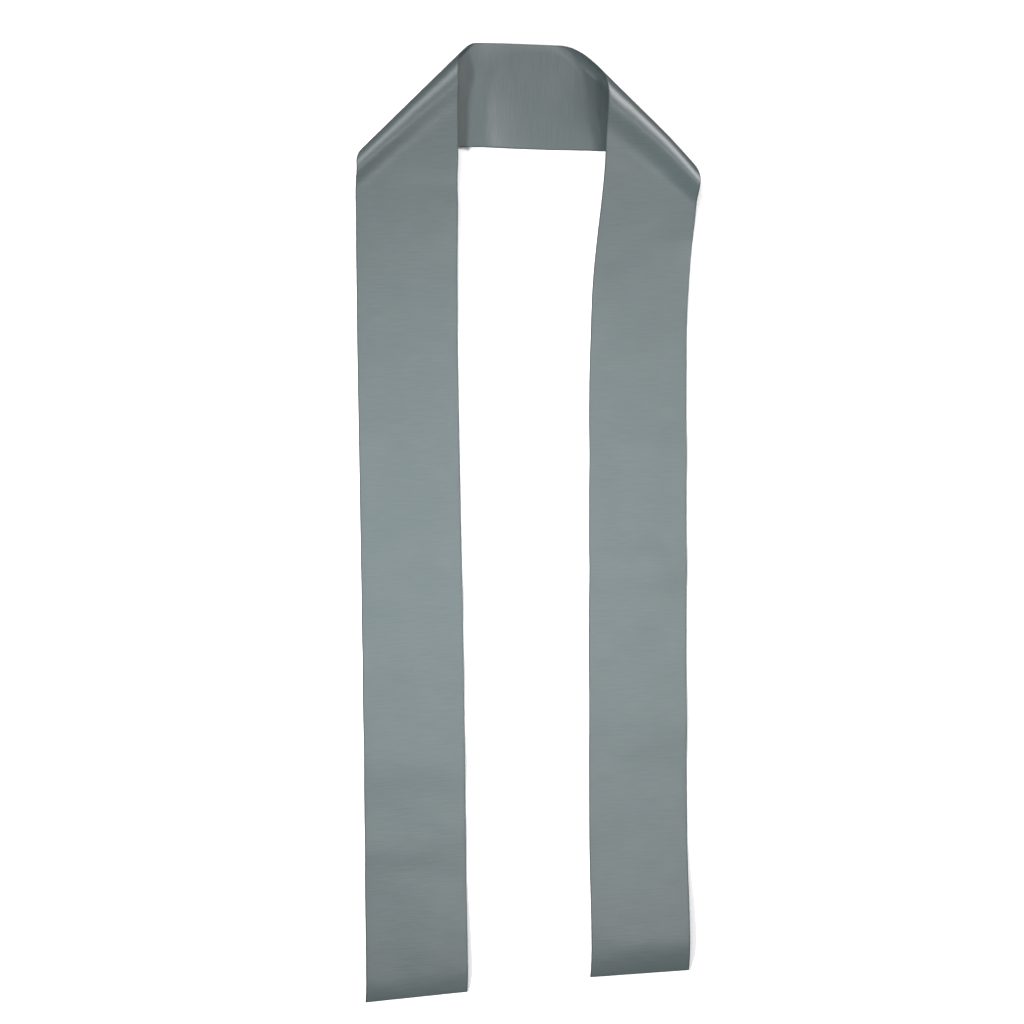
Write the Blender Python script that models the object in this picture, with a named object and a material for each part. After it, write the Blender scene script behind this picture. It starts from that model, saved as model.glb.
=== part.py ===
"""A satin stole laid flat: one long band of cloth, turned over itself at each shoulder.

The neck stretch lies on the surface. At each end of it the band turns over a soft diagonal
fold and comes back on top of itself, and from there each front lies down to its hem.
Metres, +Z up, +Y from the hems towards the neck, origin under the middle of the outline.
"""

import math

import bmesh
import bpy

MM = 0.001

# The cut
BAND_WIDTH = 101.6 * MM
CLOTH = 1.2 * MM
SEAM_GAP = 0.42 * MM

# Where the outline's middle falls in the laying-out plan below
PLAN_MIDDLE = (15.0 * MM, -8.7 * MM)

# The neck stretch in plan: the middle of its centre line, the way it runs and its width
NECK_CENTRE = (18.0 * MM, 407.9 * MM)
NECK_TILT = math.radians(-0.4)
NECK_WIDE = 102.6 * MM

# How a fold turns: the bend eases off from the crest with this power
TURN_POWER = 1.25
TURN_STEPS = 200

# How soon a front comes down from its fold: higher falls sooner and settles longer
SETTLING = 3.6

# Rows and columns of the cloth
COLUMNS = 10
TURN_ROWS = 8
DESCENT_ROWS = 9
FRONT_ROWS = 64
NECK_ROWS = 14
ROW_CROWDING = 1.5

# The folds, in millimetres of the plan. The crest runs from its outer to its inner end.
# under and over: the cloth that turns below and above the crest, at the outer and inner end.
# down: how far the front takes to come down from the top of the fold.
FOLD_COLUMNS = (
    "side", "outer_x", "outer_y", "inner_x", "inner_y",
    "under_outer", "under_inner", "over_outer", "over_inner", "down_outer", "down_inner",
)
FOLDS = (
    ("left", -154.9, 349.0, -51.4, 450.6, 5, 8.7, 12.8, 21.0, 20, 34),
    ("right", 184.9, 346.9, 77.6, 442.7, 9, 18, 13.6, 23.5, 22, 48),
)

# The fronts, at distances up the plan: the middle's place across it and the width seen from above,
# which is less where the cloth is tilted or arched
COURSE_COLUMNS = ("side", "up", "middle", "wide")
COURSES = (
    ("left", 460, -109.6, 101.6),
    ("left", 400, -108.6, 101.6),
    ("left", 330, -107.4, 101.4),
    ("left", 250, -106.3, 101.0),
    ("left", 150, -104.9, 100.4),
    ("left", 0, -102.2, 100.6),
    ("left", -150, -99.6, 101.2),
    ("left", -300, -97.6, 101.2),
    ("left", -475, -96.1, 101.6),
    ("right", 460, 138.4, 98.6),
    ("right", 400, 139.6, 98.4),
    ("right", 356, 140.2, 98.0),
    ("right", 325, 138.7, 98.6),
    ("right", 297, 137.0, 100.4),
    ("right", 267, 134.0, 100.6),
    ("right", 238, 131.3, 100.3),
    ("right", 205, 129.4, 100.0),
    ("right", 150, 128.6, 100.3),
    ("right", 0, 128.4, 100.6),
    ("right", -280, 128.6, 100.8),
    ("right", -456, 130.2, 101.6),
)

# The hems: the middle's place up the plan, and how much higher the right corner lies than the left
HEMS = {"left": (-473.3 * MM, 6.2 * MM), "right": (-457.6 * MM, 3.0 * MM)}

# How high each edge of a front stands off the surface where it leaves its fold, in millimetres,
# and how far up the plan it starts to come down and reaches the surface
LIFT_COLUMNS = ("side", "edge", "height", "top", "foot")
LIFTS = (
    ("left", "outer", 6.0, 350, 180),
    ("left", "inner", 12.5, 390, 180),
    ("right", "outer", 7.0, 338, 262),
    ("right", "inner", 15.5, 385, 100),
)

# The neck stretch is a shallow dish inside an arch, with a soft ridge along the arch, and falls
# again outside it: the arch's middle and foot in the plan, its half width and height, how square
# it is, the dish's power and depth, the fall at the left and the right foot, and how far the fall
# reaches as a share of the arch
ARCH_FOOT = (24.0 * MM, 352.0 * MM)
ARCH_HALF_WIDTH = 52.0 * MM
ARCH_HEIGHT = 100.0 * MM
ARCH_SQUARENESS = 3.0
DISH_POWER = 1.7
DISH_DEPTH = 5.6 * MM
RIDGE_FALL = (4.4 * MM, 1.6 * MM)
RIDGE_REACH = 0.48

# Soft waves across the fronts, in millimetres: how far up the plan, the height, half the length,
# how much further up at the right edge than at the left, and how much it gathers to the right
WAVE_COLUMNS = ("side", "up", "height", "half", "slant", "lean")
WAVES = (
    ("left", 306, -0.3, 26, 0, -1.0),
    ("left", 324, -0.8, 26, 0, 1.0),
    ("left", 206, 1.2, 46, -6, 0.0),
    ("left", -80, 0.9, 34, -10, 0.1),
    ("left", -150, 1.0, 34, -12, -0.1),
    ("left", -240, 1.4, 42, -10, -0.1),
    ("left", -325, 1.2, 38, 8, -0.15),
    ("right", 198, 1.6, 48, 40, 0.05),
    ("right", 57, 1.5, 36, 4, 0.0),
    ("right", -56, 1.5, 32, 8, 0.05),
    ("right", -200, 1.2, 50, -10, 0.1),
)

# The ends of the fronts rise off the surface and bend down again, in millimetres: over what length
# each does, and how high it stands between at the left and the right edge. The bend takes back
# this share of that height.
END_COLUMNS = ("side", "rise_length", "bend_length", "left_edge", "right_edge")
ENDS = (
    ("left", 110, 22, 3.4, 3.8),
    ("right", 110, 32, 5.8, 6.2),
)
BENT_BACK = 0.95


def named(columns, rows):
    """Each row of a table as a dict."""
    return [dict(zip(columns, row)) for row in rows]


def smooth(x):
    """0 up to 0, 1 from 1 on, and an even rise between."""
    x = min(1.0, max(0.0, x))
    return x * x * (3 - 2 * x)


def mix(a, b, share):
    return a + (b - a) * share


def settled(x):
    """0 up to 0, 1 from 1 on: a quick fall at first, then a long even tail."""
    x = min(1.0, max(0.0, x))
    return 1 - (1 - x) ** SETTLING * (1 + SETTLING * x)


def turn_table():
    """The quarter turn of a fold for one unit of cloth, from the crest on.

    Each entry: the cloth used, the distance out from the crest, and the height gained.
    """
    out, height = 0.0, 0.0
    table = [(0.0, 0.0, 0.0)]
    for step in range(TURN_STEPS):
        used = (step + 0.5) / TURN_STEPS
        angle = math.pi / 2 * (1 - used) ** TURN_POWER
        out += math.cos(angle) / TURN_STEPS
        height += math.sin(angle) / TURN_STEPS
        table.append(((step + 1) / TURN_STEPS, out, height))
    return table


TURN = turn_table()
TURN_OUT, TURN_HEIGHT = TURN[-1][1], TURN[-1][2]


def turned(used):
    """Distance out, height gained, and share of the slip along the crest, for a share of the turn."""
    place = min(1.0, max(0.0, used)) * TURN_STEPS
    step = min(TURN_STEPS - 1, int(place))
    low, high = TURN[step], TURN[step + 1]
    out = mix(low[1], high[1], place - step)
    height = mix(low[2], high[2], place - step)
    return out, height, (used - out) / (1 - TURN_OUT)


class Curve:
    """A smooth line through a table of places and values, from the highest place down."""

    def __init__(self, rows):
        self.rows = list(rows)
        spans = [(b[1] - a[1]) / (b[0] - a[0]) for a, b in zip(self.rows, self.rows[1:])]
        between = [(a + b) / 2 for a, b in zip(spans, spans[1:])]
        self.slopes = [spans[0]] + between + [spans[-1]]

    def at(self, place):
        """The value there and its slope."""
        if place > self.rows[0][0]:
            return self.rows[0][1] + self.slopes[0] * (place - self.rows[0][0]), self.slopes[0]
        index = 0
        while index < len(self.rows) - 2 and place < self.rows[index + 1][0]:
            index += 1
        (p0, v0), (p1, v1) = self.rows[index], self.rows[index + 1]
        m0, m1 = self.slopes[index], self.slopes[index + 1]
        span = p1 - p0
        s = (place - p0) / span
        value = (
            v0 * (2 * s**3 - 3 * s**2 + 1) + v1 * (3 * s**2 - 2 * s**3)
            + span * (m0 * (s**3 - 2 * s**2 + s) + m1 * (s**3 - s**2))
        )
        slope = (
            (v1 - v0) / span * (6 * s - 6 * s**2)
            + m0 * (3 * s**2 - 4 * s + 1) + m1 * (3 * s**2 - 2 * s)
        )
        return value, slope


class Band:
    """One straight or slightly bent stretch of the band in plan."""

    def at(self, along, across):
        """The plan point that far along the course and that far to the left of the way it runs."""
        x, y, dx, dy, wide = self.centre(along)
        share = across * wide / math.hypot(dx, dy)
        return x - share * dy, y + share * dx

    def crossing(self, fold, across):
        """How far along the band its line at this distance across meets the fold's crest."""
        start, end = self.at(0.0, across), self.at(0.01, across)
        before, after = fold.inside(start), fold.inside(end)
        return 0.01 * before / (before - after)


class Front(Band):
    """The course of a front, measured down from the top of its table."""

    def __init__(self, side):
        rows = [row for row in named(COURSE_COLUMNS, COURSES) if row["side"] == side]
        self.middle = Curve((row["up"] * MM, row["middle"] * MM) for row in rows)
        self.wide = Curve((row["up"] * MM, row["wide"] * MM) for row in rows)
        self.top = rows[0]["up"] * MM

    def centre(self, along):
        up = self.top - along
        x, slope = self.middle.at(up)
        return x, up, -slope, -1.0, self.wide.at(up)[0] / BAND_WIDTH


class Neck(Band):
    """The course of the neck stretch, measured to the right from its middle."""

    wide = NECK_WIDE / BAND_WIDTH

    def centre(self, along):
        dx, dy = math.cos(NECK_TILT), math.sin(NECK_TILT)
        return NECK_CENTRE[0] + along * dx, NECK_CENTRE[1] + along * dy, dx, dy, self.wide


class Fold:
    """A diagonal fold: its crest line in plan and the cloth that turns over it."""

    def __init__(self, row):
        self.side = row["side"]
        self.outer = (row["outer_x"] * MM, row["outer_y"] * MM)
        self.inner = (row["inner_x"] * MM, row["inner_y"] * MM)
        self.under = (row["under_outer"] * MM, row["under_inner"] * MM)
        self.over = (row["over_outer"] * MM, row["over_inner"] * MM)
        self.down = (row["down_outer"] * MM, row["down_inner"] * MM)
        dx, dy = self.inner[0] - self.outer[0], self.inner[1] - self.outer[1]
        length = math.hypot(dx, dy)
        out = 1 if self.side == "left" else -1
        self.outward = (-out * dy / length, out * dx / length)

    def inside(self, point):
        """How far a plan point lies inside the crest line."""
        dx, dy = point[0] - self.outer[0], point[1] - self.outer[1]
        return -(dx * self.outward[0] + dy * self.outward[1])


NECK = Neck()
FOLD = {row["side"]: Fold(row) for row in named(FOLD_COLUMNS, FOLDS)}
FRONT = {side: Front(side) for side in FOLD}
WAVE_ROWS = named(WAVE_COLUMNS, WAVES)
LIFT_ROWS = named(LIFT_COLUMNS, LIFTS)
END = {row["side"]: row for row in named(END_COLUMNS, ENDS)}


def outer_to_inner(side, across):
    """The share of the way from a front's outer edge to its inner edge."""
    share = across / BAND_WIDTH + 0.5
    return share if side == "left" else 1 - share


def neck_across(side, across):
    """Where a front's lengthwise line runs on the neck stretch, measured up from its centre line."""
    return across if side == "left" else -across


def slip(side, across):
    """How far a lengthwise line slips along the crest between the two stretches, as a plan vector.

    It is half of the distance between the points where the two stretches' lines meet the crest.
    """
    fold, front = FOLD[side], FRONT[side]
    on_front = front.at(front.crossing(fold, across), across)
    up = neck_across(side, across)
    on_neck = NECK.at(NECK.crossing(fold, up), up)
    return (on_neck[0] - on_front[0]) / 2, (on_neck[1] - on_front[1]) / 2


def crest_point(side, across):
    """Where a lengthwise line passes over the crest, with its height."""
    fold, front = FOLD[side], FRONT[side]
    x, y = front.at(front.crossing(fold, across), across)
    shift = slip(side, across)
    x, y = x + shift[0], y + shift[1]
    under = mix(*fold.under, outer_to_inner(side, across))
    return x, y, neck_height(x, y) + TURN_HEIGHT * under


def neck_height(x, y):
    """How high the middle of the neck stretch's cloth lies, away from the folds."""
    wide = abs(x - ARCH_FOOT[0]) / ARCH_HALF_WIDTH
    high = max(0.0, y - ARCH_FOOT[1]) / ARCH_HEIGHT
    out = (wide**ARCH_SQUARENESS + high**ARCH_SQUARENESS) ** (1 / ARCH_SQUARENESS)
    dish = DISH_DEPTH * min(1.0, out) ** DISH_POWER
    fall = mix(*RIDGE_FALL, smooth((x - ARCH_FOOT[0]) / ARCH_HALF_WIDTH / 2 + 0.5))
    return CLOTH / 2 + dish - fall * smooth((out - 1) / RIDGE_REACH)


def rest_height(side, x, y):
    """How high the middle of a front's cloth lies, away from the fold."""
    across = x - FRONT[side].centre(FRONT[side].top - y)[0]
    share = across / BAND_WIDTH
    lifts = [
        row["height"] * MM * smooth((y / MM - row["foot"]) / (row["top"] - row["foot"]))
        for row in LIFT_ROWS if row["side"] == side
    ]
    height = CLOTH / 2 + mix(*lifts, outer_to_inner(side, across))
    for wave in WAVE_ROWS:
        if wave["side"] != side:
            continue
        middle = (wave["up"] + wave["slant"] * share) * MM
        offset = (y - middle) / (wave["half"] * MM)
        if abs(offset) < 1:
            rise = math.cos(math.pi / 2 * offset) ** 2
            height += wave["height"] * MM * rise * (1 + 2 * wave["lean"] * share) ** 2
    end = END[side]
    middle, corner = HEMS[side]
    bend = end["bend_length"] * MM
    left = y - middle - corner * share
    up = smooth(1 - (left - bend) / (end["rise_length"] * MM))
    down = BENT_BACK * max(0.0, 1 - left / bend) ** 2
    return height + mix(end["left_edge"], end["right_edge"], share + 0.5) * MM * (up - down)


def over_the_fold(side, across, used):
    """A point of the front where it turns over the crest, for a share of that turn."""
    fold, front = FOLD[side], FRONT[side]
    share = outer_to_inner(side, across)
    out, height, slipped = turned(used)
    length = mix(*fold.over, share)
    x, y = front.at(front.crossing(fold, across) + FRONT_RUN[side] * out * length, across)
    shift = slip(side, across)
    left = 1 - slipped
    return (
        x + shift[0] * left,
        y + shift[1] * left,
        crest_point(side, across)[2] + height * length,
    )


def down_from_the_fold(side, across, out):
    """A point of the front that lies this far inside the crest, past the turn."""
    fold, front = FOLD[side], FRONT[side]
    share = outer_to_inner(side, across)
    length = mix(*fold.over, share)
    x, y = front.at(front.crossing(fold, across) + FRONT_RUN[side] * out, across)
    top = crest_point(side, across)[2] + TURN_HEIGHT * length
    fallen = settled((out - TURN_OUT * length) / mix(*fold.down, share))
    return x, y, mix(top, rest_height(side, x, y), fallen)


def run_per_inside(band, fold, across):
    """How far along a band it is to lie one unit further inside a crest."""
    at = band.crossing(fold, across)
    return 0.02 / (fold.inside(band.at(at + 0.02, across)) - fold.inside(band.at(at, across)))


FRONT_RUN = {side: run_per_inside(FRONT[side], FOLD[side], 0.0) for side in FOLD}
NECK_RUN = {side: run_per_inside(NECK, FOLD[side], 0.0) for side in FOLD}


def front_point(side, along, across):
    """A front's cloth: along counts rows from the crest to the hem."""
    fold, front = FOLD[side], FRONT[side]
    share = outer_to_inner(side, across)
    length = mix(*fold.over, share)
    first = SEAM_GAP / 2 / length
    if along <= TURN_ROWS:
        crowded = (along / TURN_ROWS) ** ROW_CROWDING
        return over_the_fold(side, across, mix(first, 1.0, crowded))
    along -= TURN_ROWS
    out = TURN_OUT * length + mix(*fold.down, share) * min(1.0, along / DESCENT_ROWS)
    if along <= DESCENT_ROWS:
        return down_from_the_fold(side, across, out)
    along -= DESCENT_ROWS
    start = front.crossing(fold, across) + FRONT_RUN[side] * out
    middle, rise = HEMS[side]
    end = front.top - middle - rise * across / BAND_WIDTH
    x, y = front.at(mix(start, end, along / FRONT_ROWS), across)
    return x, y, rest_height(side, x, y)


def under_the_fold(side, up, used):
    """A point of the neck stretch where it turns under the crest, for a share of that turn."""
    fold = FOLD[side]
    across = neck_across(side, up)
    share = outer_to_inner(side, across)
    out, height, slipped = turned(used)
    length = mix(*fold.under, share)
    x, y = NECK.at(NECK.crossing(fold, up) + NECK_RUN[side] * out * length, up)
    shift = slip(side, across)
    left = 1 - slipped
    x, y = x - shift[0] * left, y - shift[1] * left
    return x, y, neck_height(x, y) + (TURN_HEIGHT - height) * length


def neck_point(along, up):
    """The neck stretch's cloth: along counts rows from the left crest to the right one."""
    rows = 2 * TURN_ROWS + NECK_ROWS
    for side, count in (("left", along), ("right", rows - along)):
        if count <= TURN_ROWS:
            share = outer_to_inner(side, neck_across(side, up))
            first = SEAM_GAP / 2 / mix(*FOLD[side].under, share)
            crowded = (count / TURN_ROWS) ** ROW_CROWDING
            return under_the_fold(side, up, mix(first, 1.0, crowded))
    left = under_the_fold("left", up, 1.0)
    right = under_the_fold("right", up, 1.0)
    share = (along - TURN_ROWS) / NECK_ROWS
    x, y = mix(left[0], right[0], share), mix(left[1], right[1], share)
    return x, y, neck_height(x, y)


def satin():
    material = bpy.data.materials.new("satin")
    material.use_nodes = True
    shader = material.node_tree.nodes["Principled BSDF"]
    shader.inputs["Base Color"].default_value = (0.17, 0.2, 0.205, 1.0)
    shader.inputs["Roughness"].default_value = 0.42
    shader.inputs["Metallic"].default_value = 0.0
    return material


def lay_cloth(name, rows, point, material):
    """A flat grid of cloth, laid by moving each of its points, and given its thickness."""
    mesh = bpy.data.meshes.new(name)
    cloth = bmesh.new()
    bmesh.ops.create_grid(cloth, x_segments=COLUMNS, y_segments=rows, size=0.5)
    for vertex in cloth.verts:
        across = vertex.co.x * BAND_WIDTH
        along = (0.5 - vertex.co.y) * rows
        x, y, z = point(along, across)
        vertex.co = (x - PLAN_MIDDLE[0], y - PLAN_MIDDLE[1], z)
    cloth.to_mesh(mesh)
    cloth.free()
    obj = bpy.data.objects.new(name, mesh)
    bpy.context.scene.collection.objects.link(obj)
    mesh.materials.append(material)
    mesh.shade_smooth()
    wall = obj.modifiers.new("wall", "SOLIDIFY")
    wall.thickness = CLOTH
    wall.offset = 0.0
    wall.use_even_offset = True
    return obj


def build():
    for obj in list(bpy.data.objects):
        bpy.data.objects.remove(obj)
    material = satin()
    front_rows = TURN_ROWS + DESCENT_ROWS + FRONT_ROWS
    for side in FOLD:
        lay_cloth(f"{side}_front", front_rows, lambda a, t, s=side: front_point(s, a, t), material)
    lay_cloth("neck_stretch", 2 * TURN_ROWS + NECK_ROWS, neck_point, material)


build()
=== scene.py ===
"""A satin stole laid flat on a pale surface: one long band, turned over at each shoulder.

The band is one continuous cloth. It is cut flat, laid along its course over both folds, given its
two faces, and finished with a warp-faced satin that follows the cloth's own length and width.
"""

import math

import bpy
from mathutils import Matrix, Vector


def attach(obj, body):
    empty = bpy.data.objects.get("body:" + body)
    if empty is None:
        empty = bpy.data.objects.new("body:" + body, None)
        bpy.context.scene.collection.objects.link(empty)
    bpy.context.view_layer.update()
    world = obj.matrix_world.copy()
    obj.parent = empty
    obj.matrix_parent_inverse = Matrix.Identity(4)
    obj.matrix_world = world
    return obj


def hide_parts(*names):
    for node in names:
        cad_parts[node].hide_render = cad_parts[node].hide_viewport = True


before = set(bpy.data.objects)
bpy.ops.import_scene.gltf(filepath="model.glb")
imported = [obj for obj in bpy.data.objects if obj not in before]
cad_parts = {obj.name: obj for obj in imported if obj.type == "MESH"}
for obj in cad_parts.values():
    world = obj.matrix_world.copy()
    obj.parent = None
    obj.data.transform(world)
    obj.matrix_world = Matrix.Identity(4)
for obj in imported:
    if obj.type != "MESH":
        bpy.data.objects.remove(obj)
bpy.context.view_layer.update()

MM = 0.001

# The cut: the band's width, the thickness of both layers, and how the turned edge is rounded
BAND_WIDTH = 101.6 * MM
CLOTH = 1.2 * MM
EDGE_ROUND = 0.5 * MM
EDGE_STEPS = 3
EDGE_ANGLE = math.radians(60)

# Where the outline's middle falls in the laying-out plan below
PLAN_MIDDLE = (15.0 * MM, -8.7 * MM)

# The neck stretch in plan: the middle of its centre line, the way it runs and its width
NECK_CENTRE = (18.0 * MM, 407.9 * MM)
NECK_TILT = math.radians(-0.4)
NECK_WIDE = 102.6 * MM

# How a fold turns: the bend eases off from the crest with this power
TURN_POWER = 1.25
TURN_STEPS = 200

# Two short ways along a band, for reading off where and how steeply it meets a crest
CROSSING_WAY = 10.0 * MM
SLOPE_WAY = 20.0 * MM

# How soon a front comes down from its fold: higher falls sooner and settles longer
SETTLING = 3.6

# Rows and columns of the cloth, and how much the rows of a turn crowd towards its crest
COLUMNS = 48
TURN_ROWS = 26
DESCENT_ROWS = 22
FRONT_ROWS = 210
NECK_ROWS = 44
ROW_CROWDING = 1.5
ROWS_OF_FRONT = TURN_ROWS + DESCENT_ROWS + FRONT_ROWS
ROWS_OF_NECK = 2 * TURN_ROWS + NECK_ROWS
ROWS = 2 * ROWS_OF_FRONT + ROWS_OF_NECK

# The folds, in millimetres of the plan. The crest runs from its outer to its inner end.
# under and over: the cloth that turns below and above the crest, at the outer and inner end.
# down: how far the front takes to come down from the top of the fold.
FOLD_COLUMNS = (
    "side", "outer_x", "outer_y", "inner_x", "inner_y",
    "under_outer", "under_inner", "over_outer", "over_inner", "down_outer", "down_inner",
)
FOLDS = (
    ("left", -154.9, 349.0, -51.4, 450.6, 5, 8.7, 12.8, 21.0, 20, 34),
    ("right", 184.9, 346.9, 77.6, 442.7, 9, 18, 13.6, 23.5, 22, 48),
)

# The fronts, at distances up the plan: the middle's place across it and the width seen from above,
# which is less where the cloth is tilted or arched
COURSE_COLUMNS = ("side", "up", "middle", "wide")
COURSES = (
    ("left", 460, -109.6, 101.6),
    ("left", 400, -108.6, 101.6),
    ("left", 330, -107.4, 101.4),
    ("left", 250, -106.3, 101.0),
    ("left", 150, -104.9, 100.4),
    ("left", 0, -102.2, 100.6),
    ("left", -150, -99.6, 101.2),
    ("left", -300, -97.6, 101.2),
    ("left", -475, -96.1, 101.6),
    ("right", 460, 138.4, 98.6),
    ("right", 400, 139.6, 98.4),
    ("right", 356, 140.2, 98.0),
    ("right", 325, 138.7, 98.6),
    ("right", 297, 137.0, 100.4),
    ("right", 267, 134.0, 100.6),
    ("right", 238, 131.3, 100.3),
    ("right", 205, 129.4, 100.0),
    ("right", 150, 128.6, 100.3),
    ("right", 0, 128.4, 100.6),
    ("right", -280, 128.6, 100.8),
    ("right", -456, 130.2, 101.6),
)

# The hems: the middle's place up the plan, and how much higher the right corner lies than the left
HEMS = {"left": (-473.3 * MM, 6.2 * MM), "right": (-457.6 * MM, 3.0 * MM)}

# How high each edge of a front stands off the surface where it leaves its fold, in millimetres,
# and how far up the plan it starts to come down and reaches the surface
LIFT_COLUMNS = ("side", "edge", "height", "top", "foot")
LIFTS = (
    ("left", "outer", 6.0, 350, 180),
    ("left", "inner", 12.5, 390, 180),
    ("right", "outer", 7.0, 338, 262),
    ("right", "inner", 15.5, 385, 100),
)

# The neck stretch is a shallow dish inside an arch, with a soft ridge along the arch, and falls
# again outside it: the arch's middle and foot in the plan, its half width and height, how square
# it is, the dish's power and depth, the fall at the left and the right foot, and how far the fall
# reaches as a share of the arch
ARCH_FOOT = (24.0 * MM, 352.0 * MM)
ARCH_HALF_WIDTH = 52.0 * MM
ARCH_HEIGHT = 100.0 * MM
ARCH_SQUARENESS = 3.0
DISH_POWER = 1.7
DISH_DEPTH = 5.6 * MM
RIDGE_FALL = (4.4 * MM, 1.6 * MM)
RIDGE_REACH = 0.48

# A soft crease runs up the neck stretch: its place across the plan, its half width and depth, and
# how far up the plan it starts and is full
CREASE_PLACE = 63.0 * MM
CREASE_HALF_WIDTH = 6.0 * MM
CREASE_DEPTH = 0.5 * MM
CREASE_RISE = (375.0 * MM, 430.0 * MM)

# Soft waves across the fronts, in millimetres: how far up the plan, the height, half the length,
# how much further up at the right edge than at the left, and how much it gathers to the right
WAVE_COLUMNS = ("side", "up", "height", "half", "slant", "lean")
WAVES = (
    ("left", 306, -0.3, 26, 0, -1.0),
    ("left", 324, -0.8, 26, 0, 1.0),
    ("left", 206, 1.2, 46, -6, 0.0),
    ("left", -80, 0.9, 34, -10, 0.1),
    ("left", -150, 1.0, 34, -12, -0.1),
    ("left", -240, 1.4, 42, -10, -0.1),
    ("left", -325, 1.2, 38, 8, -0.15),
    ("right", 198, 1.6, 48, 40, 0.05),
    ("right", 57, 1.5, 36, 4, 0.0),
    ("right", -56, 1.5, 32, 8, 0.05),
    ("right", -200, 1.2, 50, -10, 0.1),
)

# The ends of the fronts rise off the surface and bend down again, in millimetres: over what length
# each does, and how high it stands between at the left and the right edge. The bend takes back
# this share of that height.
END_COLUMNS = ("side", "rise_length", "bend_length", "left_edge", "right_edge")
ENDS = (
    ("left", 110, 22, 3.4, 3.8),
    ("right", 110, 32, 5.8, 6.2),
)
BENT_BACK = 0.95

# The satin: its two tones; the painted shade on its turned edges, where they face sideways, as a
# darker tone and a dimmer gloss, and how wide that shaded line is; and the depth of its weft and of
# the unevenness that pressing left
DARKER = (0.038, 0.051, 0.053, 1.0)
LIGHTER = (0.060, 0.078, 0.081, 1.0)
EDGE_SHADE_TONE = (0.03, 0.039, 0.041, 1.0)
EDGE_SHADE_GLOSS = (0.35, 0.35, 0.35, 1.0)
EDGE_SHADE_WIDTH = 1.6 * MM
WEFT_DEPTH = 0.12 * MM
PRESSING_DEPTH = 3.0 * MM

# The weft's and the pressing's patterns: waves to the metre across and along the band, and fineness
WEFT = (45.0, 620.0, 3.0)
PRESSING = (10.0, 17.0, 1.5)

# The gloss: its roughness, its strength, how far it is drawn out, and which way as a share of a turn
GLOSS_ROUGHNESS = 0.43
GLOSS_STRENGTH = 1.0
GLOSS_DRAWN_OUT = 0.4
GLOSS_TURN = 0.25

WHITE = (1.0, 1.0, 1.0, 1.0)

# The surface below: its size, and how far it lies under the cloth
SURFACE_SIZE = 12.0
SURFACE_GAP = 0.2 * MM

# The lights: the strength of the light from all around, how far the lamps beside the stole are from
# its middle, the point on the neck's side of the middle that two of them face, and the radius of
# the round one
LIGHT_AROUND = 0.26
LAMP_DISTANCE = 2.6
TOWARDS_NECK = (0.0, 0.1, 0.0)
SPOT_RADIUS = 0.3

# The camera: how far it leans to the left of straight above, its distance, its lens with the width
# of its picture in millimetres, and how far it sees
CAMERA_LEAN = math.radians(14.0)
CAMERA_DISTANCE = 3.456
CAMERA_LENS = 123.65
CAMERA_PICTURE = 36.0
CAMERA_REACH = 50.0


def named(columns, rows):
    """Each row of a table as a dict."""
    return [dict(zip(columns, row)) for row in rows]


def smooth(x):
    """0 up to 0, 1 from 1 on, and an even rise between."""
    x = min(1.0, max(0.0, x))
    return x * x * (3 - 2 * x)


def mix(a, b, share):
    """The value that lies this share of the way from one to the other."""
    return a + (b - a) * share


def settled(x):
    """0 up to 0, 1 from 1 on: a quick fall at first, then a long even tail."""
    x = min(1.0, max(0.0, x))
    return 1 - (1 - x) ** SETTLING * (1 + SETTLING * x)


def turn_table():
    """The quarter turn of a fold for one unit of cloth, from the crest on.

    Each entry: the cloth used, the distance out from the crest, and the height gained.
    """
    out, height = 0.0, 0.0
    table = [(0.0, 0.0, 0.0)]
    for step in range(TURN_STEPS):
        used = (step + 0.5) / TURN_STEPS
        angle = math.pi / 2 * (1 - used) ** TURN_POWER
        out += math.cos(angle) / TURN_STEPS
        height += math.sin(angle) / TURN_STEPS
        table.append(((step + 1) / TURN_STEPS, out, height))
    return table


TURN = turn_table()
TURN_OUT, TURN_HEIGHT = TURN[-1][1], TURN[-1][2]


def turned(used):
    """Distance out, height gained, and share of the slip along the crest, for a share of the turn."""
    place = min(1.0, max(0.0, used)) * TURN_STEPS
    step = min(TURN_STEPS - 1, int(place))
    low, high = TURN[step], TURN[step + 1]
    out = mix(low[1], high[1], place - step)
    height = mix(low[2], high[2], place - step)
    return out, height, (used - out) / (1 - TURN_OUT)


class Curve:
    """A smooth line through a table of places and values, from the highest place down."""

    def __init__(self, rows):
        self.rows = list(rows)
        spans = [(b[1] - a[1]) / (b[0] - a[0]) for a, b in zip(self.rows, self.rows[1:])]
        between = [(a + b) / 2 for a, b in zip(spans, spans[1:])]
        self.slopes = [spans[0]] + between + [spans[-1]]

    def at(self, place):
        """The value there and its slope."""
        if place > self.rows[0][0]:
            return self.rows[0][1] + self.slopes[0] * (place - self.rows[0][0]), self.slopes[0]
        index = 0
        while index < len(self.rows) - 2 and place < self.rows[index + 1][0]:
            index += 1
        (p0, v0), (p1, v1) = self.rows[index], self.rows[index + 1]
        m0, m1 = self.slopes[index], self.slopes[index + 1]
        span = p1 - p0
        s = (place - p0) / span
        value = (
            v0 * (2 * s**3 - 3 * s**2 + 1) + v1 * (3 * s**2 - 2 * s**3)
            + span * (m0 * (s**3 - 2 * s**2 + s) + m1 * (s**3 - s**2))
        )
        slope = (
            (v1 - v0) / span * (6 * s - 6 * s**2)
            + m0 * (3 * s**2 - 4 * s + 1) + m1 * (3 * s**2 - 2 * s)
        )
        return value, slope


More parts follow.
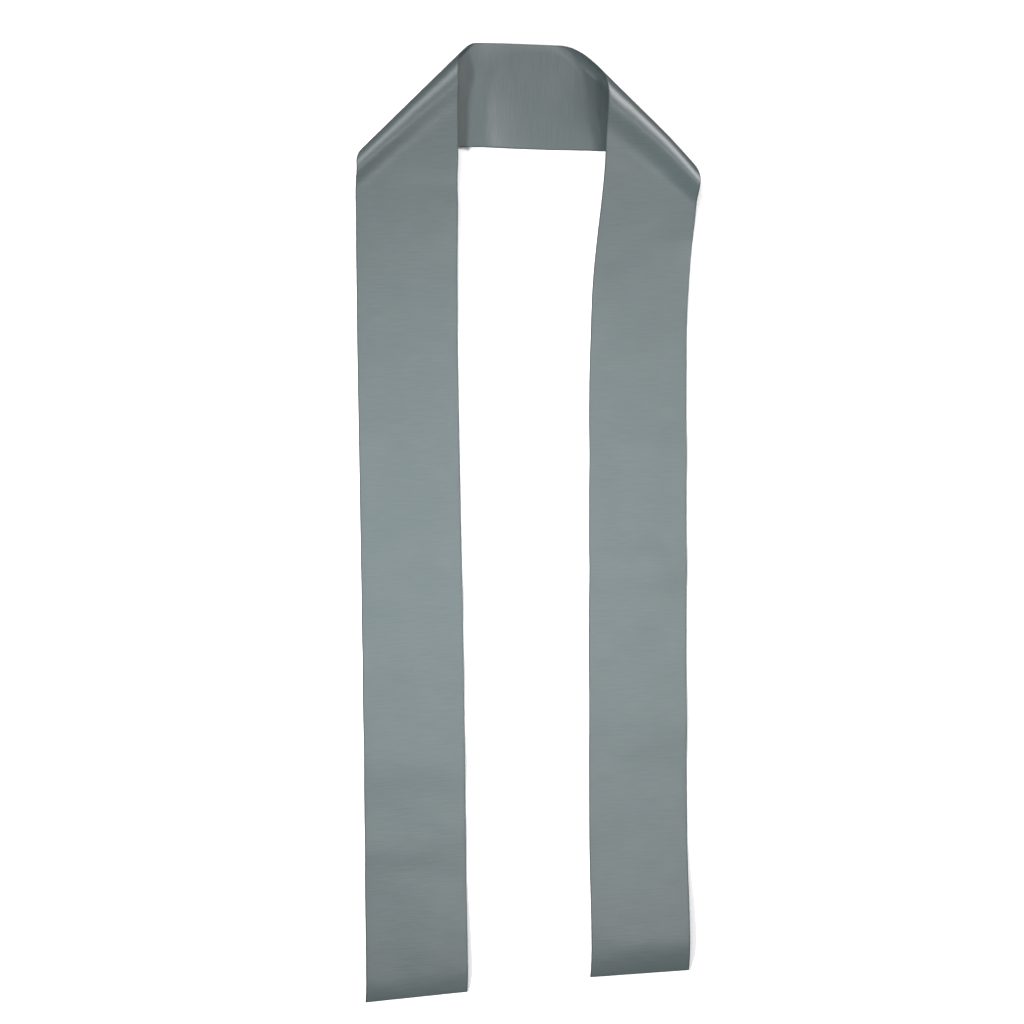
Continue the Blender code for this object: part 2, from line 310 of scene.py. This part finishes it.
class Band:
    """One straight or slightly bent stretch of the band in plan."""

    def at(self, along, across):
        """The plan point that far along the course and that far to the left of the way it runs."""
        x, y, dx, dy, wide = self.centre(along)
        share = across * wide / math.hypot(dx, dy)
        return x - share * dy, y + share * dx

    def crossing(self, fold, across):
        """How far along the band its line at this distance across meets the fold's crest."""
        start, end = self.at(0.0, across), self.at(CROSSING_WAY, across)
        before, after = fold.inside(start), fold.inside(end)
        return CROSSING_WAY * before / (before - after)


class Front(Band):
    """The course of a front, measured down from the top of its table."""

    def __init__(self, side):
        rows = [row for row in named(COURSE_COLUMNS, COURSES) if row["side"] == side]
        self.middle = Curve((row["up"] * MM, row["middle"] * MM) for row in rows)
        self.wide = Curve((row["up"] * MM, row["wide"] * MM) for row in rows)
        self.top = rows[0]["up"] * MM

    def centre(self, along):
        """The middle's place, the way it runs there, and the width as a share of the band's."""
        up = self.top - along
        x, slope = self.middle.at(up)
        return x, up, -slope, -1.0, self.wide.at(up)[0] / BAND_WIDTH


class Neck(Band):
    """The course of the neck stretch, measured to the right from its middle."""

    wide = NECK_WIDE / BAND_WIDTH

    def centre(self, along):
        """The middle's place, the way it runs, and the width as a share of the band's."""
        dx, dy = math.cos(NECK_TILT), math.sin(NECK_TILT)
        return NECK_CENTRE[0] + along * dx, NECK_CENTRE[1] + along * dy, dx, dy, self.wide


class Fold:
    """A diagonal fold: its crest line in plan and the cloth that turns over it."""

    def __init__(self, row):
        self.side = row["side"]
        self.outer = (row["outer_x"] * MM, row["outer_y"] * MM)
        self.inner = (row["inner_x"] * MM, row["inner_y"] * MM)
        self.under = (row["under_outer"] * MM, row["under_inner"] * MM)
        self.over = (row["over_outer"] * MM, row["over_inner"] * MM)
        self.down = (row["down_outer"] * MM, row["down_inner"] * MM)
        dx, dy = self.inner[0] - self.outer[0], self.inner[1] - self.outer[1]
        length = math.hypot(dx, dy)
        out = 1 if self.side == "left" else -1
        self.outward = (-out * dy / length, out * dx / length)

    def inside(self, point):
        """How far a plan point lies inside the crest line."""
        dx, dy = point[0] - self.outer[0], point[1] - self.outer[1]
        return -(dx * self.outward[0] + dy * self.outward[1])


NECK = Neck()
FOLD = {row["side"]: Fold(row) for row in named(FOLD_COLUMNS, FOLDS)}
FRONT = {side: Front(side) for side in FOLD}
WAVE_ROWS = named(WAVE_COLUMNS, WAVES)
LIFT_ROWS = named(LIFT_COLUMNS, LIFTS)
END = {row["side"]: row for row in named(END_COLUMNS, ENDS)}


def outer_to_inner(side, across):
    """The share of the way from a front's outer edge to its inner edge."""
    share = across / BAND_WIDTH + 0.5
    return share if side == "left" else 1 - share


def neck_across(side, across):
    """Where a front's lengthwise line runs on the neck stretch, measured up from its centre line."""
    return across if side == "left" else -across


def slip(side, across):
    """How far a lengthwise line slips along the crest between the two stretches, as a plan vector.

    It is half of the distance between the points where the two stretches' lines meet the crest.
    """
    fold, front = FOLD[side], FRONT[side]
    on_front = front.at(front.crossing(fold, across), across)
    up = neck_across(side, across)
    on_neck = NECK.at(NECK.crossing(fold, up), up)
    return (on_neck[0] - on_front[0]) / 2, (on_neck[1] - on_front[1]) / 2


def crest_height(side, across):
    """How high a lengthwise line passes over the crest."""
    fold, front = FOLD[side], FRONT[side]
    x, y = front.at(front.crossing(fold, across), across)
    shift = slip(side, across)
    under = mix(*fold.under, outer_to_inner(side, across))
    return neck_height(x + shift[0], y + shift[1]) + TURN_HEIGHT * under


def neck_height(x, y):
    """How high the middle of the neck stretch's cloth lies, away from the folds."""
    wide = abs(x - ARCH_FOOT[0]) / ARCH_HALF_WIDTH
    high = max(0.0, y - ARCH_FOOT[1]) / ARCH_HEIGHT
    out = (wide**ARCH_SQUARENESS + high**ARCH_SQUARENESS) ** (1 / ARCH_SQUARENESS)
    dish = DISH_DEPTH * min(1.0, out) ** DISH_POWER
    fall = mix(*RIDGE_FALL, smooth((x - ARCH_FOOT[0]) / ARCH_HALF_WIDTH / 2 + 0.5))
    height = CLOTH / 2 + dish - fall * smooth((out - 1) / RIDGE_REACH)
    aside = abs(x - CREASE_PLACE) / CREASE_HALF_WIDTH
    full = smooth((y - CREASE_RISE[0]) / (CREASE_RISE[1] - CREASE_RISE[0]))
    return height - CREASE_DEPTH * full * smooth(1 - aside)


def rest_height(side, x, y):
    """How high the middle of a front's cloth lies, away from the fold."""
    across = x - FRONT[side].centre(FRONT[side].top - y)[0]
    share = across / BAND_WIDTH
    lifts = [
        row["height"] * MM * smooth((y / MM - row["foot"]) / (row["top"] - row["foot"]))
        for row in LIFT_ROWS if row["side"] == side
    ]
    height = CLOTH / 2 + mix(*lifts, outer_to_inner(side, across))
    for wave in WAVE_ROWS:
        if wave["side"] != side:
            continue
        middle = (wave["up"] + wave["slant"] * share) * MM
        offset = (y - middle) / (wave["half"] * MM)
        if abs(offset) < 1:
            rise = math.cos(math.pi / 2 * offset) ** 2
            height += wave["height"] * MM * rise * (1 + 2 * wave["lean"] * share) ** 2
    end = END[side]
    middle, corner = HEMS[side]
    bend = end["bend_length"] * MM
    left = y - middle - corner * share
    up = smooth(1 - (left - bend) / (end["rise_length"] * MM))
    down = BENT_BACK * max(0.0, 1 - left / bend) ** 2
    return height + mix(end["left_edge"], end["right_edge"], share + 0.5) * MM * (up - down)


def over_the_fold(side, across, used):
    """A point of the front where it turns over the crest, for a share of that turn."""
    fold, front = FOLD[side], FRONT[side]
    share = outer_to_inner(side, across)
    out, height, slipped = turned(used)
    length = mix(*fold.over, share)
    x, y = front.at(front.crossing(fold, across) + FRONT_RUN[side] * out * length, across)
    shift = slip(side, across)
    left = 1 - slipped
    top = crest_height(side, across) + height * length
    return x + shift[0] * left, y + shift[1] * left, top


def down_from_the_fold(side, across, out):
    """A point of the front that lies this far inside the crest, past the turn."""
    fold, front = FOLD[side], FRONT[side]
    share = outer_to_inner(side, across)
    length = mix(*fold.over, share)
    x, y = front.at(front.crossing(fold, across) + FRONT_RUN[side] * out, across)
    top = crest_height(side, across) + TURN_HEIGHT * length
    fallen = settled((out - TURN_OUT * length) / mix(*fold.down, share))
    return x, y, mix(top, rest_height(side, x, y), fallen)


def run_per_inside(band, fold, across):
    """How far along a band it is to lie one unit further inside a crest."""
    start = band.crossing(fold, across)
    before = fold.inside(band.at(start, across))
    after = fold.inside(band.at(start + SLOPE_WAY, across))
    return SLOPE_WAY / (after - before)


FRONT_RUN = {side: run_per_inside(FRONT[side], FOLD[side], 0.0) for side in FOLD}
NECK_RUN = {side: run_per_inside(NECK, FOLD[side], 0.0) for side in FOLD}


def front_point(side, along, across):
    """A front's cloth: along counts rows from the crest to the hem."""
    fold, front = FOLD[side], FRONT[side]
    share = outer_to_inner(side, across)
    length = mix(*fold.over, share)
    if along <= TURN_ROWS:
        return over_the_fold(side, across, (along / TURN_ROWS) ** ROW_CROWDING)
    along -= TURN_ROWS
    out = TURN_OUT * length + mix(*fold.down, share) * min(1.0, along / DESCENT_ROWS)
    if along <= DESCENT_ROWS:
        return down_from_the_fold(side, across, out)
    along -= DESCENT_ROWS
    start = front.crossing(fold, across) + FRONT_RUN[side] * out
    middle, rise = HEMS[side]
    end = front.top - middle - rise * across / BAND_WIDTH
    x, y = front.at(mix(start, end, along / FRONT_ROWS), across)
    return x, y, rest_height(side, x, y)


def under_the_fold(side, up, used):
    """A point of the neck stretch where it turns under the crest, for a share of that turn."""
    fold = FOLD[side]
    across = neck_across(side, up)
    share = outer_to_inner(side, across)
    out, height, slipped = turned(used)
    length = mix(*fold.under, share)
    x, y = NECK.at(NECK.crossing(fold, up) + NECK_RUN[side] * out * length, up)
    shift = slip(side, across)
    left = 1 - slipped
    x, y = x - shift[0] * left, y - shift[1] * left
    return x, y, neck_height(x, y) + (TURN_HEIGHT - height) * length


def neck_point(along, up):
    """The neck stretch's cloth: along counts rows from the left crest to the right one."""
    for side, count in (("left", along), ("right", ROWS_OF_NECK - along)):
        if count <= TURN_ROWS:
            return under_the_fold(side, up, (count / TURN_ROWS) ** ROW_CROWDING)
    left = under_the_fold("left", up, 1.0)
    right = under_the_fold("right", up, 1.0)
    share = (along - TURN_ROWS) / NECK_ROWS
    x, y = mix(left[0], right[0], share), mix(left[1], right[1], share)
    return x, y, neck_height(x, y)


def band_point(row, across):
    """The laid cloth, for a row counted from the left hem and a distance across the band."""
    if row < ROWS_OF_FRONT:
        x, y, z = front_point("left", ROWS_OF_FRONT - row, across)
    elif row <= ROWS_OF_FRONT + ROWS_OF_NECK:
        x, y, z = neck_point(row - ROWS_OF_FRONT, across)
    else:
        x, y, z = front_point("right", row - ROWS_OF_FRONT - ROWS_OF_NECK, -across)
    return Vector((x - PLAN_MIDDLE[0], y - PLAN_MIDDLE[1], z))


def lengths_along(across):
    """The cloth's length from the left hem up to each row, along one lengthwise line."""
    places = [band_point(row, across) for row in range(ROWS + 1)]
    lengths = [0.0]
    for before, place in zip(places, places[1:]):
        lengths.append(lengths[-1] + (place - before).length)
    return lengths


def deselect_all():
    """Leaves nothing selected, so that an operator works only on what is made next."""
    bpy.ops.object.select_all(action="DESELECT")


def cut_band():
    """The flat band: a plain grid with a row for each row of the laid cloth."""
    deselect_all()
    bpy.ops.mesh.primitive_grid_add(x_subdivisions=COLUMNS, y_subdivisions=ROWS, size=1.0)
    band = bpy.context.active_object
    band.name = "stole"
    return band


def lay_band(band):
    """Lays the flat grid along its course and writes each point's place in the flat band.

    Every lengthwise line keeps its own true length on the left front. What it differs in from the
    middle line over both folds is eased in along the neck stretch, and then holds to the right hem.
    """
    mesh = band.data
    points = {}
    for vertex in mesh.vertices:
        row = round((vertex.co.y + 0.5) * ROWS)
        points[(row, round((vertex.co.x + 0.5) * COLUMNS))] = vertex.index
    flat = {}
    length = lengths_along(0.0)[-1]
    for column in range(COLUMNS + 1):
        across = (column / COLUMNS - 0.5) * BAND_WIDTH
        lengths = lengths_along(across)
        for row, along in enumerate(lengths):
            eased = smooth((row - ROWS_OF_FRONT) / ROWS_OF_NECK) * (length - lengths[-1])
            index = points[(row, column)]
            mesh.vertices[index].co = band_point(row, across)
            flat[index] = (across, along + eased)
    layer = mesh.uv_layers.active
    layer.name = "flat"
    for loop in mesh.loops:
        layer.data[loop.index].uv = flat[loop.vertex_index]
    mesh.update()
    return length


def give_two_faces(band):
    """Both layers of the band with their turned edge, as one wall with a rounded rim."""
    wall = band.modifiers.new("two_layers", "SOLIDIFY")
    wall.thickness = CLOTH
    wall.offset = 0.0
    wall.use_even_offset = True
    rim = band.modifiers.new("turned_edge", "BEVEL")
    rim.width = EDGE_ROUND
    rim.segments = EDGE_STEPS
    rim.limit_method = "ANGLE"
    rim.angle_limit = EDGE_ANGLE
    for modifier in (wall.name, rim.name):
        bpy.ops.object.modifier_apply(modifier=modifier)
    bpy.ops.object.shade_smooth()


def uneven(nodes, links, place, across, along, detail):
    """A soft uneven pattern with so many waves to the metre across and along the band."""
    scaled = nodes.new("ShaderNodeMapping")
    scaled.inputs["Scale"].default_value = (across, along, 1.0)
    links.new(place.outputs["UV"], scaled.inputs["Vector"])
    pattern = nodes.new("ShaderNodeTexNoise")
    pattern.inputs["Scale"].default_value = 1.0
    pattern.inputs["Detail"].default_value = detail
    links.new(scaled.outputs["Vector"], pattern.inputs["Vector"])
    return pattern.outputs["Fac"]


def painted_edge_shade(nodes, links, place):
    """Where the edge shade is painted: 1 on the turned long edges, and 0 from their pressed lines
    inwards.
    """
    split = nodes.new("ShaderNodeSeparateXYZ")
    links.new(place.outputs["UV"], split.inputs["Vector"])
    aside = nodes.new("ShaderNodeMath")
    aside.operation = "ABSOLUTE"
    links.new(split.outputs["X"], aside.inputs[0])
    edge = nodes.new("ShaderNodeMapRange")
    edge.inputs["From Min"].default_value = BAND_WIDTH / 2 - EDGE_SHADE_WIDTH
    edge.inputs["From Max"].default_value = BAND_WIDTH / 2
    links.new(aside.outputs["Value"], edge.inputs["Value"])
    return edge.outputs["Result"]


def blend(nodes, links, factor, first, second):
    """Two colours mixed by a factor; the first can be an output of another node."""
    mixed = nodes.new("ShaderNodeMix")
    mixed.data_type = "RGBA"
    if isinstance(first, tuple):
        mixed.inputs["A"].default_value = first
    else:
        links.new(first, mixed.inputs["A"])
    mixed.inputs["B"].default_value = second
    links.new(factor, mixed.inputs["Factor"])
    return mixed.outputs["Result"]


def relief(nodes, links, height, depth, below=None):
    """A bump of that depth in metres, on top of another one if given."""
    bump = nodes.new("ShaderNodeBump")
    bump.inputs["Strength"].default_value = 1.0
    bump.inputs["Distance"].default_value = depth
    links.new(height, bump.inputs["Height"])
    if below is not None:
        links.new(below, bump.inputs["Normal"])
    return bump.outputs["Normal"]


def satin():
    """Grey satin in the cloth's own length and width, with its sheen spread along the length."""
    material = bpy.data.materials.new("satin")
    material.use_nodes = True
    nodes, links = material.node_tree.nodes, material.node_tree.links
    shader = nodes["Principled BSDF"]
    shader.inputs["Roughness"].default_value = GLOSS_ROUGHNESS
    shader.inputs["Specular IOR Level"].default_value = GLOSS_STRENGTH
    shader.inputs["Anisotropic"].default_value = GLOSS_DRAWN_OUT
    shader.inputs["Anisotropic Rotation"].default_value = GLOSS_TURN
    threads = nodes.new("ShaderNodeTangent")
    threads.direction_type = "UV_MAP"
    threads.uv_map = "flat"
    links.new(threads.outputs["Tangent"], shader.inputs["Tangent"])

    place = nodes.new("ShaderNodeUVMap")
    place.uv_map = "flat"
    weft = uneven(nodes, links, place, *WEFT)
    pressing = uneven(nodes, links, place, *PRESSING)
    edge = painted_edge_shade(nodes, links, place)
    cloth = blend(nodes, links, weft, DARKER, LIGHTER)
    # Painted shade: the base colour darkens on the turned edges, where the cloth turns to face
    # sideways
    tone = blend(nodes, links, edge, cloth, EDGE_SHADE_TONE)
    links.new(tone, shader.inputs["Base Color"])
    # Painted shade on the gloss: the sheen is dimmed on the turned edges
    sheen = blend(nodes, links, edge, WHITE, EDGE_SHADE_GLOSS)
    links.new(sheen, shader.inputs["Specular Tint"])
    pressed = relief(nodes, links, pressing, PRESSING_DEPTH)
    woven = relief(nodes, links, weft, WEFT_DEPTH, pressed)
    links.new(woven, shader.inputs["Normal"])
    return material


def make_stole():
    """The stole in place of its three stretches, and the length of its flat band."""
    band = cut_band()
    length = lay_band(band)
    give_two_faces(band)
    band.data.materials.append(satin())
    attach(band, "root")
    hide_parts("left_front", "neck_stretch", "right_front")
    return band, length


def make_floor():
    """The pale surface, which neither mirrors in the satin nor throws light up at it."""
    deselect_all()
    bpy.ops.mesh.primitive_plane_add(size=SURFACE_SIZE, location=(0.0, 0.0, -SURFACE_GAP))
    floor = bpy.context.active_object
    floor.name = "table_top"
    material = bpy.data.materials.new("pale_surface")
    material.use_nodes = True
    shader = material.node_tree.nodes["Principled BSDF"]
    shader.inputs["Base Color"].default_value = WHITE
    shader.inputs["Roughness"].default_value = 1.0
    shader.inputs["Specular IOR Level"].default_value = 0.0
    floor.data.materials.append(material)
    floor.visible_glossy = False
    floor.visible_diffuse = False
    return floor


def aimed(name, data, place, aim):
    """A light of this kind at a place, turned to face a point."""
    light = bpy.data.objects.new(name, data)
    light.location = place
    light.rotation_euler = (Vector(aim) - Vector(place)).to_track_quat("-Z", "Y").to_euler()
    bpy.context.scene.collection.objects.link(light)
    return light


def area_light(name, place, aim, size, power):
    """A rectangular soft light."""
    data = bpy.data.lights.new(name, "AREA")
    data.shape = "RECTANGLE"
    data.size, data.size_y = size
    data.energy = power
    return aimed(name, data, place, aim)


def soft_spot(name, place, aim, opening, power):
    """A spotlight that fades evenly from its middle to its edge."""
    data = bpy.data.lights.new(name, "SPOT")
    data.spot_size = math.radians(opening)
    data.spot_blend = 1.0
    data.shadow_soft_size = SPOT_RADIUS
    data.energy = power
    return aimed(name, data, place, aim)


def around(rise, turn):
    """A lamp's place about the middle, at a height angle and a turn from the right, in degrees."""
    rise, turn = math.radians(rise), math.radians(turn)
    flat = LAMP_DISTANCE * math.cos(rise)
    return flat * math.cos(turn), flat * math.sin(turn), LAMP_DISTANCE * math.sin(rise)


def make_lights():
    """Even light all around, the gloss of the flats and of the two folds, and a wide soft patch."""
    world = bpy.data.worlds.new("studio")
    world.use_nodes = True
    background = world.node_tree.nodes["Background"]
    background.inputs["Color"].default_value = WHITE
    background.inputs["Strength"].default_value = LIGHT_AROUND
    bpy.context.scene.world = world
    area_light(
        "overhead", place=(0.7, -0.3, 2.6), aim=(0.0, -0.05, 0.0),
        size=(0.6, 0.5), power=9.6,
    )
    area_light(
        "far_right", place=around(rise=34.0, turn=35.0), aim=TOWARDS_NECK,
        size=(1.2, 1.1), power=44.0,
    )
    area_light(
        "far_left", place=around(rise=45.0, turn=112.0), aim=TOWARDS_NECK,
        size=(1.3, 1.2), power=27.0,
    )
    middle = soft_spot(
        "middle", place=around(rise=38.0, turn=187.0), aim=(0.01, -0.04, 0.0),
        opening=26.0, power=1140.0,
    )
    # It brightens the middle of the fronts without showing as gloss from the far side
    middle.visible_glossy = False


def make_camera():
    """Above the stole, leaning to the left, with the plan's origin in the middle of the picture."""
    data = bpy.data.cameras.new("camera")
    data.sensor_width = CAMERA_PICTURE
    data.lens = CAMERA_LENS
    data.clip_end = CAMERA_REACH
    camera = bpy.data.objects.new("camera", data)
    back = Vector((-math.sin(CAMERA_LEAN), 0.0, math.cos(CAMERA_LEAN)))
    middle = Vector((-PLAN_MIDDLE[0], -PLAN_MIDDLE[1], 0.0))
    camera.location = middle + back * CAMERA_DISTANCE
    camera.rotation_euler = (0.0, -CAMERA_LEAN, 0.0)
    bpy.context.scene.collection.objects.link(camera)
    bpy.context.scene.camera = camera


make_camera()
floor = make_floor()
stole, stole_length = make_stole()
make_lights()
bpy.context.scene.view_settings.view_transform = "Standard"
